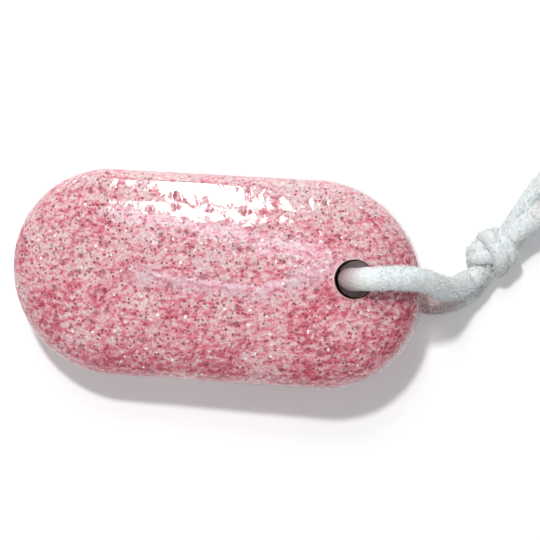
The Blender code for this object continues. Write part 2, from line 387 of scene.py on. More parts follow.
@dataclass(frozen=True)
class PinkPumice:
    """Pink pumice: a frothy volcanic glass, dyed and sawn, its pores cut open.

    It is matt and finely mottled from greyish pink to crimson. Its colour is paler round x = -8 mm,
    a painted haze, and darker towards -Y and towards the ends, painted shade. Its small pores are
    painted dark as shade in the pits, and a few pale grains are partly painted glints. The drilled
    wall is painted nearly black inside, as shade.
    """

    tones: tuple[tuple[float, str], ...] = (
        (0.3, "#CDB6B6"),
        (0.43, "#D3AFB1"),
        (0.52, "#D09099"),
        (0.62, "#C36875"),
        (0.74, "#AE4150"),
    )
    # Painted shade in the pores.
    pore_shade: str = "#8E2C40"
    pale_grain_and_glint: str = "#F7F0EC"
    tan: str = "#A9683C"
    # Painted shade: the near black of the drilled wall deeper in.
    bore_shade: str = "#180B0A"
    streak_turn: float = math.radians(13.0)
    # The mottle's patches are about 1 to 1.5 mm across, a little longer along the streaks.
    streak: float = 1.4
    across_streak: float = 0.9
    mottle_size: float = 1.25
    # Stretches where the dye took better or worse are about 13 mm across.
    cloud_size: float = 13.0
    cloud_share: float = 0.45
    middle_tone: float = 0.25
    # Painted light: paler round x = -8 mm, as a painted haze, and darker towards -Y and the ends, as painted
    # shade.
    lower_side_shade: float = 1.9
    end_shade: float = 1.5
    haze_middle_x: float = -8.0
    # Grit is about 0.2 mm, less than one of the picture's pixels, so it is drawn coarser.
    grain_size: float = 0.6
    grain_height: float = 0.2
    # Small pores, 0.3 to 0.8 mm across, one in each millimetre.
    pore_cell: float = 1.0
    # Pale grains, which are partly painted glints, about half a millimetre to a millimetre across, one in
    # each 3 mm or so.
    pale_cell: float = 2.9
    roughness: float = 0.85

    def material(self) -> bpy.types.Material:
        """Build the material.

        Returns:
            The finished material, which reads the attributes pit, painted shade in the open pores,
            and bore, the drilled wall's tan and its painted shade.
        """
        material, tree = new_material("pink_pumice")
        where = add_node(tree, "TexCoord", {}).outputs["Object"]
        grain = add_node(tree, "TexNoise", {}, Vector=where, Scale=per(self.grain_size), Detail=2.0)
        small, pored = self.pores(tree, where, self.mottle(tree, where, grain.outputs["Fac"]))
        grained = self.pale_grains_and_glints(tree, where, grain.outputs["Fac"], pored)
        colour = self.bore(tree, grain.outputs["Fac"], grained)
        height = add_node(tree, "Math", {"operation": "SUBTRACT"}, i0=grain.outputs["Fac"], i1=small)
        # The small pores are sunk, and the grit between them stands up.
        bump = add_node(
            tree, "Bump", {}, Strength=0.8, Distance=self.grain_height * MM, Height=height.outputs[0]
        )
        shader = add_node(
            tree,
            "BsdfPrincipled",
            {},
            Base_Color=colour,
            Roughness=self.roughness,
            Normal=bump.outputs[0],
        )
        add_node(tree, "OutputMaterial", {}, Surface=shader.outputs[0])
        return material

    def mottle(
        self, tree: bpy.types.NodeTree, where: bpy.types.NodeSocket, grain: bpy.types.NodeSocket
    ) -> bpy.types.NodeSocket:
        """Colour the ground between the pores.

        Args:
            tree: The material's node tree.
            where: The object coordinates.
            grain: The fine grain's pattern.

        Returns:
            The ground's colour.
        """
        along = add_node(
            tree,
            "Mapping",
            {"vector_type": "TEXTURE"},
            Vector=where,
            Rotation=(0.0, 0.0, self.streak_turn),
            Scale=(self.streak, self.across_streak, self.across_streak),
        ).outputs[0]
        fine = add_node(
            tree,
            "TexNoise",
            {},
            Vector=along,
            Scale=per(self.mottle_size),
            Detail=4.0,
            Roughness=0.6,
        ).outputs["Fac"]
        cloud = add_node(
            tree, "TexNoise", {}, Vector=where, Scale=per(self.cloud_size), Detail=2.0
        ).outputs["Fac"]
        both = add_node(
            tree, "Math", {"operation": "MULTIPLY_ADD"}, i0=cloud, i1=self.cloud_share, i2=fine
        ).outputs[0]
        # Painted shade towards -Y and the ends, and a painted haze round the palest place.
        place = add_node(tree, "SeparateXYZ", {}, Vector=where)
        leaned = add_node(
            tree,
            "Math",
            {"operation": "MULTIPLY_ADD"},
            i0=place.outputs["Y"],
            i1=-self.lower_side_shade,
            i2=both,
        ).outputs[0]
        from_palest = add_node(
            tree, "Math", {"operation": "SUBTRACT"}, i0=place.outputs["X"], i1=self.haze_middle_x * MM
        ).outputs[0]
        away = add_node(tree, "Math", {"operation": "ABSOLUTE"}, i0=from_palest).outputs[0]
        leaned = add_node(
            tree, "Math", {"operation": "MULTIPLY_ADD"}, i0=away, i1=self.end_shade, i2=leaned
        ).outputs[0]
        tone = add_node(
            tree, "Math", {"operation": "SUBTRACT"}, i0=leaned, i1=self.middle_tone
        ).outputs[0]
        stops = [(level, linear(colour)) for level, colour in self.tones]
        ground = add_node(tree, "ValToRGB", {"stops": stops}, Fac=tone).outputs[0]
        speck = add_node(
            tree, "ValToRGB", {"stops": [(0.35, grey(0.2)), (0.65, grey(0.8))]}, Fac=grain
        ).outputs[0]
        return add_node(
            tree, "Mix", {"data_type": "RGBA", "blend_type": "OVERLAY"}, i0=0.45, i6=ground, i7=speck
        ).outputs[2]

    def pores(
        self, tree: bpy.types.NodeTree, where: bpy.types.NodeSocket, ground: bpy.types.NodeSocket
    ) -> tuple[bpy.types.NodeSocket, bpy.types.NodeSocket]:
        """Darken the small pores, and the large ones that the mesh has, as painted shade in the pits.

        Args:
            tree: The material's node tree.
            where: The object coordinates.
            ground: The colour between the pores.

        Returns:
            The small pores' pattern, and the colour with the pores in it.
        """
        holes = add_node(
            tree, "TexVoronoi", {"feature": "F1"}, Vector=where, Scale=per(self.pore_cell)
        )
        draw = add_node(tree, "SeparateColor", {}, Color=holes.outputs["Color"]).outputs[1]
        reach = add_node(
            tree, "MapRange", {}, Value=draw, From_Min=0.0, From_Max=1.0, To_Min=0.14, To_Max=0.4
        ).outputs[0]
        depth = add_node(
            tree, "Math", {"operation": "SUBTRACT"}, i0=reach, i1=holes.outputs["Distance"]
        ).outputs[0]
        small = add_node(
            tree, "ValToRGB", {"stops": [(0.0, grey(0)), (0.09, grey(0.85))]}, Fac=depth
        ).outputs[0]
        # Painted shade: the large pores darken most in their middles, as shade in the pits.
        pit = add_node(tree, "Attribute", {"attribute_name": "pit"}).outputs["Fac"]
        dark = add_node(tree, "Math", {"operation": "MAXIMUM"}, i0=small, i1=pit).outputs[0]
        coloured = add_node(
            tree, "Mix", {"data_type": "RGBA"}, i0=dark, i6=ground, i7=linear(self.pore_shade)
        ).outputs[2]
        return small, coloured

    def pale_grains_and_glints(
        self,
        tree: bpy.types.NodeTree,
        where: bpy.types.NodeSocket,
        grain: bpy.types.NodeSocket,
        ground: bpy.types.NodeSocket,
    ) -> bpy.types.NodeSocket:
        """Strew the few pale grains, which are partly painted glints.

        Args:
            tree: The material's node tree.
            where: The object coordinates.
            grain: The fine grain's pattern, which frays their edges.
            ground: The colour below them.

        Returns:
            The colour with the grains in it.
        """
        cells = add_node(
            tree, "TexVoronoi", {"feature": "F1"}, Vector=where, Scale=per(self.pale_cell)
        )
        frayed = add_node(
            tree,
            "Math",
            {"operation": "MULTIPLY_ADD"},
            i0=grain,
            i1=0.5,
            i2=cells.outputs["Distance"],
        ).outputs[0]
        pale = add_node(
            tree, "ValToRGB", {"stops": [(0.31, grey(1)), (0.38, grey(0))]}, Fac=frayed
        ).outputs[0]
        return add_node(
            tree, "Mix", {"data_type": "RGBA"}, i0=pale, i6=ground, i7=linear(self.pale_grain_and_glint)
        ).outputs[2]

    def bore(
        self, tree: bpy.types.NodeTree, grain: bpy.types.NodeSocket, ground: bpy.types.NodeSocket
    ) -> bpy.types.NodeSocket:
        """Colour the drilled wall: tan and patchy at its mouths, and painted nearly black inside as shade.

        Args:
            tree: The material's node tree.
            grain: The fine grain's pattern, which makes the tan rim patchy.
            ground: The colour outside the bore.

        Returns:
            The colour with the bore in it.
        """
        deep = add_node(tree, "Attribute", {"attribute_name": "bore"}).outputs["Fac"]
        stops = [(0.45, linear(self.tan)), (0.7, linear(self.bore_shade))]
        wall = add_node(tree, "ValToRGB", {"stops": stops}, Fac=deep).outputs[0]
        patchy = add_node(
            tree, "Math", {"operation": "MULTIPLY_ADD"}, i0=grain, i1=0.7, i2=deep
        ).outputs[0]
        share = add_node(
            tree, "ValToRGB", {"stops": [(0.55, grey(0)), (0.8, grey(1))]}, Fac=patchy
        ).outputs[0]
        return add_node(tree, "Mix", {"data_type": "RGBA"}, i0=share, i6=ground, i7=wall).outputs[2]


@dataclass(frozen=True)
class ClearFilm:
    """Clear shrink film: thin blown plastic, heat-shrunk, so it is glossy, with faint waves.

    The eye sees the stone through it with the lamps mirrored on top, and milky stretches where it
    is creased, welded or cut: the film's own whitening, with painted highlight along the creases and
    on the cut edge's side towards the lamps.
    """

    mirror: float = 0.045
    edge_mirror: float = 0.3
    roughness: float = 0.06
    # The colour of whitened film, also used for painted highlight.
    milky: str = "#EADDE6"
    # Waves that the shrinking leaves in the film, about 4 mm long.
    wave_size: float = 4.0
    wave_height: float = 0.11
    # The film follows the porous ground below it, which is about 1 mm coarse.
    grain_size: float = 1.2
    grain_height: float = 0.025

    def material(self) -> bpy.types.Material:
        """Build the material.

        Returns:
            The finished material, which reads the attribute milky for the whitened stretches and the painted
            highlight.
        """
        material, tree = new_material("clear_shrink_film")
        where = add_node(tree, "TexCoord", {}).outputs["Object"]
        waves = add_node(
            tree, "TexNoise", {}, Vector=where, Scale=per(self.wave_size), Detail=1.0
        ).outputs["Fac"]
        grain = add_node(
            tree, "TexNoise", {}, Vector=where, Scale=per(self.grain_size), Detail=2.0
        ).outputs["Fac"]
        soft = add_node(tree, "Bump", {}, Strength=1.0, Distance=self.wave_height * MM, Height=waves)
        fine = add_node(
            tree,
            "Bump",
            {},
            Strength=1.0,
            Distance=self.grain_height * MM,
            Height=grain,
            Normal=soft.outputs[0],
        ).outputs[0]
        gloss = add_node(
            tree,
            "BsdfAnisotropic",
            {},
            Color=linear("#FFFFFF"),
            Roughness=self.roughness,
            Normal=fine,
        )
        clear = add_node(tree, "BsdfTransparent", {}, Color=linear("#FFFFFF"))
        facing = add_node(tree, "LayerWeight", {}, Blend=0.5, Normal=fine).outputs["Facing"]
        rise = add_node(tree, "Math", {"operation": "POWER"}, i0=facing, i1=5.0).outputs[0]
        share = add_node(
            tree,
            "Math",
            {"operation": "MULTIPLY_ADD", "use_clamp": True},
            i0=rise,
            i1=self.edge_mirror,
            i2=self.mirror,
        ).outputs[0]
        glossy = add_node(tree, "MixShader", {}, i0=share, i1=clear.outputs[0], i2=gloss.outputs[0])
        # Whitened film and painted highlight, as a pale diffuse layer.
        white = add_node(tree, "BsdfDiffuse", {}, Color=linear(self.milky), Roughness=0.5)
        milky = add_node(tree, "Attribute", {"attribute_name": "milky"}).outputs["Fac"]
        patchy = add_node(
            tree, "ValToRGB", {"stops": [(0.3, grey(0.6)), (0.6, grey(1))]}, Fac=grain
        ).outputs[0]
        hazed = add_node(tree, "Math", {"operation": "MULTIPLY"}, i0=milky, i1=patchy).outputs[0]
        whole = add_node(tree, "MixShader", {}, i0=hazed, i1=glossy.outputs[0], i2=white.outputs[0])
        add_node(tree, "OutputMaterial", {}, Surface=whole.outputs[0])
        return material


@dataclass(frozen=True)
class CottonYarn:
    """Undyed cotton, loosely braided: matt and soft, cool white with a few cream stretches."""

    white: str = "#D3D8D8"
    cream: str = "#CFCABC"
    shade: str = "#A0A9AD"
    # Painted shade: the pinkish grey of the cord in the hole and under the stone.
    under_stone_shade_colour: str = "#8C6462"
    # Cream stretches are about 6 mm long.
    cream_size: float = 6.0
    # Yarn is about 0.3 mm thick, hardly more than a pixel, so it is drawn coarser.
    yarn: float = 0.55
    yarn_height: float = 0.25
    roughness: float = 0.92

    def material(self) -> bpy.types.Material:
        """Build the material.

        Returns:
            The finished material, which reads the attributes groove, painted shade in the braid's grooves,
            and dust, painted shade where the cord lies in the hole and under the stone.
        """
        material, tree = new_material("braided_cotton")
        where = add_node(tree, "TexCoord", {}).outputs["Object"]
        patch = add_node(
            tree, "TexNoise", {}, Vector=where, Scale=per(self.cream_size), Detail=2.0
        ).outputs["Fac"]
        patch = add_node(
            tree, "ValToRGB", {"stops": [(0.5, grey(0)), (0.7, grey(0.6))]}, Fac=patch
        ).outputs[0]
        ground = add_node(
            tree,
            "Mix",
            {"data_type": "RGBA"},
            i0=patch,
            i6=linear(self.white),
            i7=linear(self.cream),
        ).outputs[2]
        fibre = add_node(
            tree, "TexNoise", {}, Vector=where, Scale=per(self.yarn), Detail=3.0
        ).outputs["Fac"]
        # Painted shade: the braid's grooves are darkened towards the grey shade colour, while the flecks are
        # the fibres' own tone.
        groove = add_node(tree, "Attribute", {"attribute_name": "groove"}).outputs["Fac"]
        fleck = add_node(
            tree, "ValToRGB", {"stops": [(0.3, grey(0.55)), (0.5, grey(0))]}, Fac=fibre
        ).outputs[0]
        dark = add_node(tree, "Math", {"operation": "MAXIMUM"}, i0=fleck, i1=groove).outputs[0]
        colour = add_node(
            tree, "Mix", {"data_type": "RGBA"}, i0=dark, i6=ground, i7=linear(self.shade)
        ).outputs[2]
        # Painted shade: the cord is darkened to a pinkish grey in the hole and under the stone.
        dust = add_node(tree, "Attribute", {"attribute_name": "dust"}).outputs["Fac"]
        colour = add_node(
            tree, "Mix", {"data_type": "RGBA"}, i0=dust, i6=colour, i7=linear(self.under_stone_shade_colour)
        ).outputs[2]
        bump = add_node(tree, "Bump", {}, Strength=0.7, Distance=self.yarn_height * MM, Height=fibre)
        shader = add_node(
            tree,
            "BsdfPrincipled",
            {},
            Base_Color=colour,
            Roughness=self.roughness,
            Sheen_Weight=0.25,
            Normal=bump.outputs[0],
        )
        add_node(tree, "OutputMaterial", {}, Surface=shader.outputs[0])
        return material


@dataclass
class Pores:
    """Large open pores of the stone, shared by the stone and by the film that dips into them.

    The first ones are listed one by one on the upper face, each with its X, Y and radius.
    """

    placed: tuple[tuple[float, float, float], ...] = (
        (-10.5, 19.1, 1.0),
        (-7.0, 10.3, 0.9),
        (-5.3, 10.0, 0.8),
        (-8.7, 10.2, 0.7),
        (-16.2, 15.3, 0.9),
        (-13.2, 7.6, 0.7),
        (29.7, 11.7, 0.8),
        (22.4, -4.0, 0.8),
        (6.3, -7.2, 0.7),
        (25.6, 19.6, 0.9),
    )
    count: int = 620
    least: float = 0.5
    most: float = 0.95
    full_depth_radius: float = 0.8
    clear_of_bore: float = 5.6
    seed: int = 23
    places: list[Vector] = field(default_factory=list)
    radii: list[float] = field(default_factory=list)
    tree: KDTree | None = None

    def scatter(self, pillow: Pillow, bm: bmesh.types.BMesh) -> None:
        """Choose the pores' places on the stone's surface, with mostly small ones.

        Args:
            pillow: The stone's form.
            bm: The stone's grid, in its own frame.
        """
        draw = random.Random(self.seed)
        bm.verts.ensure_lookup_table()
        upper = [vert for vert in bm.verts if vert.co.z > 0.0]
        for x, y, radius in self.placed:
            near = min(upper, key=lambda vert: (vert.co.x - x) ** 2 + (vert.co.y - y) ** 2)
            self.places.append(near.co.copy())
            self.radii.append(radius)
        for _ in range(self.count):
            vert = bm.verts[draw.randrange(len(bm.verts))]
            if pillow.from_bore(vert.co) > self.clear_of_bore:
                self.places.append(vert.co.copy())
                self.radii.append(self.least + (self.most - self.least) * draw.random() ** 3.0)
        self.tree = KDTree(len(self.places))
        for index, place in enumerate(self.places):
            self.tree.insert(place, index)
        self.tree.balance()

    def share(self, place: Vector, spread: float = 1.0, smallest: float = 0.0) -> float:
        """How deep in a pore a place lies.

        Args:
            place: A place in the stone's own frame.
            spread: How much wider than the pore the dip is.
            smallest: The radius below which a pore is passed over.

        Returns:
            0 on the ground between the pores, 1 in the middle of a large pore.
        """
        deepest = 0.0
        for _, index, distance in self.tree.find_range(place, self.most * spread):
            radius = self.radii[index] * spread
            if distance < radius and self.radii[index] >= smallest:
                depth = (1.0 - (distance / radius) ** 2) * min(1.0, radius / spread / self.full_depth_radius)
                deepest = max(deepest, depth)
        return deepest


@dataclass
class PumiceStone:
    """The block of pumice, in one piece."""

    pillow: Pillow
    pores: Pores
    cells: tuple[int, int, int] = (216, 104, 56)
    shrink: float = 0.2
    bore_radius: float = 4.5
    pore_depth: float = 0.65
    pit_shade_strength: float = 0.75
    lump_size: float = 9.0
    lump_height: float = 0.2
    coarse_grain: tuple[float, float] = (2.3, 0.1)
    fine_grain: tuple[float, float] = (0.9, 0.07)
    wall_cuts: int = 36
    rim_width: float = 0.6
    rim_share: float = 0.4
    dark_from: float = 1.6
    broken_depth: float = 1.5
    broken_out: float = 0.2
    drill_mark: float = 0.12
    drill_mark_size: float = 0.8

    def relief(self, place: Vector) -> float:
        """Depth of the worn ground between the pores, below the form."""
        lumps = self.lump_height * (0.5 - 0.5 * noise.noise(place / self.lump_size))
        coarse_size, coarse = self.coarse_grain
        fine_size, fine = self.fine_grain
        grains = coarse * noise.noise(place / coarse_size) + fine * noise.noise(place / fine_size)
        return max(0.0, lumps + grains)

    def build(self) -> bpy.types.Object:
        """Model the stone.

        Returns:
            The stone's object, which replaces its plain solid.
        """
        bm = self.pillow.grid(self.cells, self.shrink)
        bm.normal_update()
        self.pores.scatter(self.pillow, bm)
        pit = bm.verts.layers.float.new("pit")
        for vert in bm.verts:
            share = self.pores.share(vert.co)
            # The pores are marked for painted shade, deepest in their middles.
            vert[pit] = self.pit_shade_strength * share
            vert.co -= vert.normal * (self.relief(vert.co) + self.pore_depth * share)
        rim = self.pillow.open_bore(bm, self.bore_radius)
        bmesh.ops.bridge_loops(bm, edges=rim)
        tall = [e for e in bm.edges if abs(e.verts[0].co.z - e.verts[1].co.z) > 10.0]
        bmesh.ops.subdivide_edges(bm, edges=tall, cuts=self.wall_cuts, use_grid_fill=True)
        self.roughen_bore(bm)
        self.pillow.rest(bm)
        bmesh.ops.recalc_face_normals(bm, faces=bm.faces)
        stone = finish_piece("pumice_stone_surface", bm, PinkPumice().material())
        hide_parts("pumice_stone")
        return stone

    def roughen_bore(self, bm: bmesh.types.BMesh) -> None:
        """Roughen the drilled wall as the drill left it, with its mouths broken a little, and mark it for
        its colour: tan at the mouths, and painted shade deeper in.
        """
        bore = bm.verts.layers.float.new("bore")
        for vert in bm.verts:
            out = self.pillow.from_bore(vert.co)
            depth = self.pillow.thickness / 2 - abs(vert.co.z)
            if out < self.bore_radius + self.rim_width:
                vert[bore] = self.rim_share * (1.0 - (out - self.bore_radius) / self.rim_width)
            if out > self.bore_radius + 0.01:
                continue
            # Deeper in, the wall is marked for painted shade.
            vert[bore] = min(1.0, max(self.rim_share, depth / self.dark_from))
            near_mouth = max(0.0, 1.0 - depth / self.broken_depth)
            mark = self.drill_mark * abs(noise.noise(vert.co / self.drill_mark_size))
            push = mark + self.broken_out * near_mouth
            scale = (self.bore_radius + push) / self.bore_radius
            vert.co.x = self.pillow.bore_x + (vert.co.x - self.pillow.bore_x) * scale
            vert.co.y = self.pillow.bore_y + (vert.co.y - self.pillow.bore_y) * scale


@dataclass
class ShrinkFilm:
    """The clear film round the stone, welded at its edge and open at the hole."""

    pillow: Pillow
    pores: Pores
    cells: tuple[int, int, int] = (160, 78, 40)
    wall: float = 0.06
    hole_radius: float = 4.7
    seam_height: float = 0.4
    dip: float = 0.14
    spanned: float = 0.7
    lip_height: float = 0.25
    lip_flare: float = 0.22
    creases: tuple[tuple[tuple[float, float], ...], ...] = (
        ((-20.0, -0.4), (-11.0, -1.2), (-2.8, -1.9), (6.7, -2.5)),
        ((6.7, -2.6), (12.0, -2.7), (16.5, -1.2), (20.8, 0.5), (27.8, 4.0)),
    )
    crease_height: float = 0.13
    crease_width: float = 1.0
    # How pale the creases are painted: partly the film's own whitening, partly painted highlight.
    crease_haze: float = 0.32
    halo_width: float = 1.8
    haze_patch: float = 3.0
    wide_corner: float = math.radians(30.0)
    least_seam: float = 0.05
    seam_haze: float = 0.5
    lump_size: float = 9.0
    lump_height: float = 0.1
    grain_size: float = 2.3
    grain_height: float = 0.012
    far_off: float = 99.0

    def from_crease(self, place: Vector) -> float:
        """Distance of a place from the middle of the nearest crease of the upper face."""
        if place.z < 0.0:
            return self.far_off
        here = place.xy
        nearest = self.far_off
        for line in self.creases:
            for start, end in zip(line, line[1:]):
                a, b = Vector(start), Vector(end)
                t = max(0.0, min(1.0, (here - a).dot(b - a) / (b - a).length_squared))
                nearest = min(nearest, (here - a.lerp(b, t)).length)
        return nearest

    def seam_share(self, place: Vector) -> float:
        """How proud the weld stands, most at the corner where it was cut off widest."""
        toward = math.cos(math.atan2(place.y, place.x) + self.wide_corner)
        return self.least_seam + (1.0 - self.least_seam) * max(0.0, toward) ** 2

    def build(self) -> bpy.types.Object:
        """Model the film.

        Returns:
            The film's object, which replaces its plain solid.
        """
        bm = self.pillow.grid(self.cells, self.wall)
        bm.normal_update()
        milky = bm.verts.layers.float.new("milky")
        for vert in bm.verts:
            place = vert.co.copy()
            sink = self.lump_height * (0.5 - 0.5 * noise.noise(place / self.lump_size))
            sink += self.grain_height * noise.noise(place / self.grain_size)
            sink += self.dip * self.pores.share(place, 1.1, self.spanned)
            away = self.from_crease(place)
            proud = self.crease_height * math.exp(-((away / self.crease_width) ** 2)) - sink
            # The creases and a halo round them are painted pale: partly the film's own whitening, partly
            # painted highlight.
            patch = 0.5 + 0.5 * noise.noise(place / self.haze_patch)
            vert[milky] = self.crease_haze * patch * math.exp(-((away / self.halo_width) ** 2))
            if abs(place.z) < 0.05:
                share = self.seam_share(place)
                proud += self.seam_height * share
                vert[milky] = self.seam_haze * share
            vert.co += vert.normal * proud
        rim = self.pillow.open_bore(bm, self.hole_radius)
        self.turn_up(bm, rim, milky)
        self.pillow.rest(bm)
        bmesh.ops.recalc_face_normals(bm, faces=bm.faces)
        film = finish_piece("shrink_film_surface", bm, ClearFilm().material())
        wall = film.modifiers.new("wall", "SOLIDIFY")
        wall.thickness = self.wall * MM
        wall.offset = 1.0
        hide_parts("shrink_film")
        return film

    def turn_up(
        self,
        bm: bmesh.types.BMesh,
        rim: list[bmesh.types.BMEdge],
        milky: bmesh.types.BMLayerItem,
    ) -> None:
        """Turn up the film's cut edge round both mouths of the hole, as heat curls it, and paint it pale,
        most on the side towards the lamps as a painted highlight.

        Args:
            bm: The film, in the stone's own frame.
            rim: The edges round both mouths.
            milky: The layer of the whitened stretches and of the painted highlight.
        """
        lip = bmesh.ops.extrude_edge_only(bm, edges=rim)["geom"]
        for vert in (part for part in lip if isinstance(part, bmesh.types.BMVert)):
            out = Vector((vert.co.x - self.pillow.bore_x, vert.co.y - self.pillow.bore_y)).normalized()
            vert.co.xy = vert.co.xy + out * self.lip_flare
            vert.co.z += math.copysign(self.lip_height, vert.co.z)
            # Painted highlight: the lip is paler on the side towards the lamps, -X and +Y.
            vert[milky] = max(0.1, 0.5 - 0.6 * out.x + 0.2 * out.y)


class Strand(Enum):
    """The two strands that share the knot, by their place at its ends."""

    UPPER = 1.0
    LOWER = -1.0


@dataclass
class OverhandKnot:
    """An overhand knot in two strands at once, pulled tight by moving its points step by step.

    It is tied in its own frame, with X along the cord, and then turned and moved to its place.
    """

    centre: tuple[float, float, float] = (67.5, 9.9, 6.4)
    heading: float = math.radians(55.4)
    roll: float = math.radians(180.0)
    hand: float = -1.0
    points: int = 84
    far_end: float = 19.0
    half_length: float = 5.2
    pair_apart: float = 3.7
    pair_rounds: int = 700
    apart: float = 2.5
    rounds: int = 90
    pushes: int = 4
    push_share: float = 0.6
    own_reach: float = 1.6
    respace_every: int = 8
    curve_end: float = 2.06
    curve_points: int = 160
    spread: tuple[float, float, float] = (3.4, 2.8, 1.5)

    def loose(self) -> np.ndarray:
        """Lay the pair of strands as one loose overhand knot between two far ends.

        Returns:
            The pair's points, evenly spaced.
        """
        t = np.linspace(-self.curve_end, self.curve_end, self.curve_points)
        wide, deep, high = self.spread
        flat = [wide * (t**3 - 3 * t), self.hand * deep * (2.0 - t**4 + 4 * t**2)]
        shape = np.stack([*flat, high * np.clip(t**5 - 10 * t, -8.0, 8.0)], axis=1)
        ends = np.array([[-self.far_end, 0.0, 0.0], [self.far_end, 0.0, 0.0]])
        return self.even(np.concatenate([ends[:1], shape, ends[1:]]))

    def even(self, line: np.ndarray) -> np.ndarray:
        """Space a strand's points evenly along it."""
        walked = np.concatenate(([0.0], np.cumsum(np.linalg.norm(np.diff(line, axis=0), axis=1))))
        places = np.linspace(0.0, walked[-1], self.points)
        return np.stack([np.interp(places, walked, column) for column in line.T], axis=1)

    def tighten(self, lines: np.ndarray, apart: float, rounds: int) -> np.ndarray:
        """Pull lines tight between their ends while they keep off each other.

        Args:
            lines: One or two lines of points.
            apart: How far apart their middle lines stay.
            rounds: How many small steps are made.

        Returns:
            The lines as they lie at the end.
        """
        anchors = lines[:, [0, -1]].copy()
        index = np.arange(lines.shape[0] * self.points)
        same_line = (index[:, None] // self.points) == (index[None, :] // self.points)
        between = np.abs(index[:, None] - index[None, :])
        for step in range(rounds):
            lines[:, 1:-1] += 0.25 * (lines[:, :-2] + lines[:, 2:] - 2.0 * lines[:, 1:-1])
            spacing = np.linalg.norm(np.diff(lines, axis=1), axis=2).mean()
            near = same_line & (between < self.own_reach * apart / spacing)
            for _ in range(self.pushes):
                flat = lines.reshape(-1, 3)
                gap = flat[:, None] - flat[None, :]
                distance = np.linalg.norm(gap, axis=2) + 1e-9
                press = np.where(near | (distance > apart), 0.0, apart - distance)
                move = (gap / distance[..., None] * press[..., None]).sum(axis=1)
                count = np.maximum((press > 0.0).sum(axis=1), 1)[:, None]
                lines = (flat + self.push_share * move / count).reshape(lines.shape)
                lines[:, [0, -1]] = anchors
            if step % self.respace_every == self.respace_every - 1:
                lines = np.stack([self.even(line) for line in lines])
        return lines

    def tie(self) -> dict[Strand, list[Vector]]:
        """Tie the knot: the pair first as one line, then its two strands side by side.

        Returns:
            The middle line of each strand inside the knot, in its place.
        """
        pair = self.tighten(self.loose()[None], self.pair_apart, self.pair_rounds)[0]
        way = np.gradient(pair, axis=0)
        way /= np.linalg.norm(way, axis=1)[:, None]
        up = np.array([0.0, math.sin(self.roll), math.cos(self.roll)])
        sides = []
        side = up
        for ahead in way:
            side = side - ahead * side.dot(ahead)
            side = side / np.linalg.norm(side)
            sides.append(side)
        last = up - way[-1] * up.dot(way[-1])
        twist = math.atan2(way[-1].dot(np.cross(sides[-1], last)), sides[-1].dot(last))
        strands = []
        for strand in Strand:
            angle = np.linspace(0.0, twist, self.points)[:, None]
            out = np.array(sides) * np.cos(angle) + np.cross(way, sides) * np.sin(angle)
            strands.append(self.even(pair + out * strand.value * self.apart / 2))
        lines = self.tighten(np.stack(strands), self.apart, self.rounds)
        inside = lines[np.abs(lines[:, :, 0]) < self.half_length]
        middle = 0.5 * (inside.min(axis=0) + inside.max(axis=0))
        turn = Matrix.Rotation(self.heading, 3, "Z") @ Matrix.Rotation(self.roll, 3, "X")
        placed = {}
        for strand, line in zip(Strand, lines - middle):
            kept = line[np.abs(line[:, 0]) < self.half_length]
            placed[strand] = [Vector(self.centre) + turn @ Vector(point) for point in kept]
        return placed


